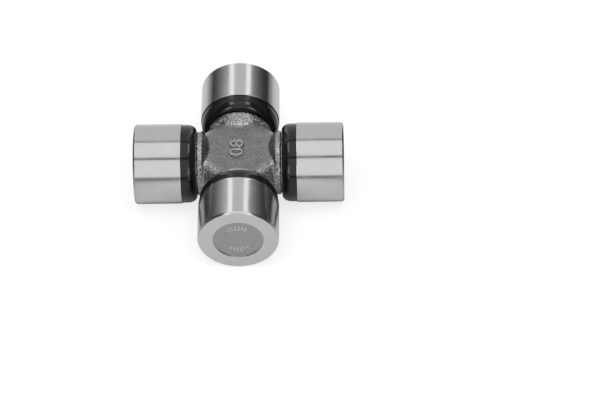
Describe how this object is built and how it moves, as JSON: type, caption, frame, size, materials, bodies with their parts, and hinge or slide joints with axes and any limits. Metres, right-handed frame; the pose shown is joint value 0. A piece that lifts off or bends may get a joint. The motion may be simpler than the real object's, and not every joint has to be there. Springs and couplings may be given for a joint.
{
  "type": "universal joint cross",
  "caption": "Universal joint cross: a forged spider whose four trunnions carry sealed needle bearing cups that turn freely.",
  "frame": {"origin": "where the two trunnion axes cross", "axes": "+X and +Y along the arms, +Z square to both, up when the cross lies flat on its cups"},
  "size_m": [0.076, 0.076, 0.029],
  "materials": {
    "forged_steel": "shot-blasted forging, trunnions and seal lands ground",
    "ground_steel": "centreless ground",
    "needle_steel": "lapped",
    "washer_nylon": "moulded",
    "seal_rubber": "moulded, glossy, lightly greased"
  },
  "bodies": {
    "spider": {"spider": "forged_steel"},
    "right_cup": {"right_bearing_cup": "ground_steel", "right_thrust_washer": "washer_nylon", "right_seal": "seal_rubber"},
    "right_rollers": {"right_needle_rollers": "needle_steel"},
    "back_cup": {"back_bearing_cup": "ground_steel", "back_thrust_washer": "washer_nylon", "back_seal": "seal_rubber"},
    "back_rollers": {"back_needle_rollers": "needle_steel"},
    "left_cup": {"left_bearing_cup": "ground_steel", "left_thrust_washer": "washer_nylon", "left_seal": "seal_rubber"},
    "left_rollers": {"left_needle_rollers": "needle_steel"},
    "front_cup": {"front_bearing_cup": "ground_steel", "front_thrust_washer": "washer_nylon", "front_seal": "seal_rubber"},
    "front_rollers": {"front_needle_rollers": "needle_steel"}
  },
  "joints": [
    {"name": "right_cup_turn", "type": "hinge", "parent": "spider", "child": "right_cup", "pos_m": [0.02965, 0, 0], "axis": [1, 0, 0], "continuous": true},
    {"name": "right_rollers_turn", "type": "hinge", "parent": "spider", "child": "right_rollers", "pos_m": [0.02965, 0, 0], "axis": [1, 0, 0], "continuous": true},
    {"name": "back_cup_turn", "type": "hinge", "parent": "spider", "child": "back_cup", "pos_m": [0, 0.02965, 0], "axis": [0, 1, 0], "continuous": true},
    {"name": "back_rollers_turn", "type": "hinge", "parent": "spider", "child": "back_rollers", "pos_m": [0, 0.02965, 0], "axis": [0, 1, 0], "continuous": true},
    {"name": "left_cup_turn", "type": "hinge", "parent": "spider", "child": "left_cup", "pos_m": [-0.02965, 0, 0], "axis": [-1, 0, 0], "continuous": true},
    {"name": "left_rollers_turn", "type": "hinge", "parent": "spider", "child": "left_rollers", "pos_m": [-0.02965, 0, 0], "axis": [-1, 0, 0], "continuous": true},
    {"name": "front_cup_turn", "type": "hinge", "parent": "spider", "child": "front_cup", "pos_m": [0, -0.02965, 0], "axis": [0, -1, 0], "continuous": true},
    {"name": "front_rollers_turn", "type": "hinge", "parent": "spider", "child": "front_rollers", "pos_m": [0, -0.02965, 0], "axis": [0, -1, 0], "continuous": true}
  ],
  "couplings": [
    {"joint": "right_rollers_turn", "follows": "right_cup_turn", "ratio": 0.56183},
    {"joint": "back_rollers_turn", "follows": "back_cup_turn", "ratio": 0.56183},
    {"joint": "left_rollers_turn", "follows": "left_cup_turn", "ratio": 0.56183},
    {"joint": "front_rollers_turn", "follows": "front_cup_turn", "ratio": 0.56183}
  ]
}
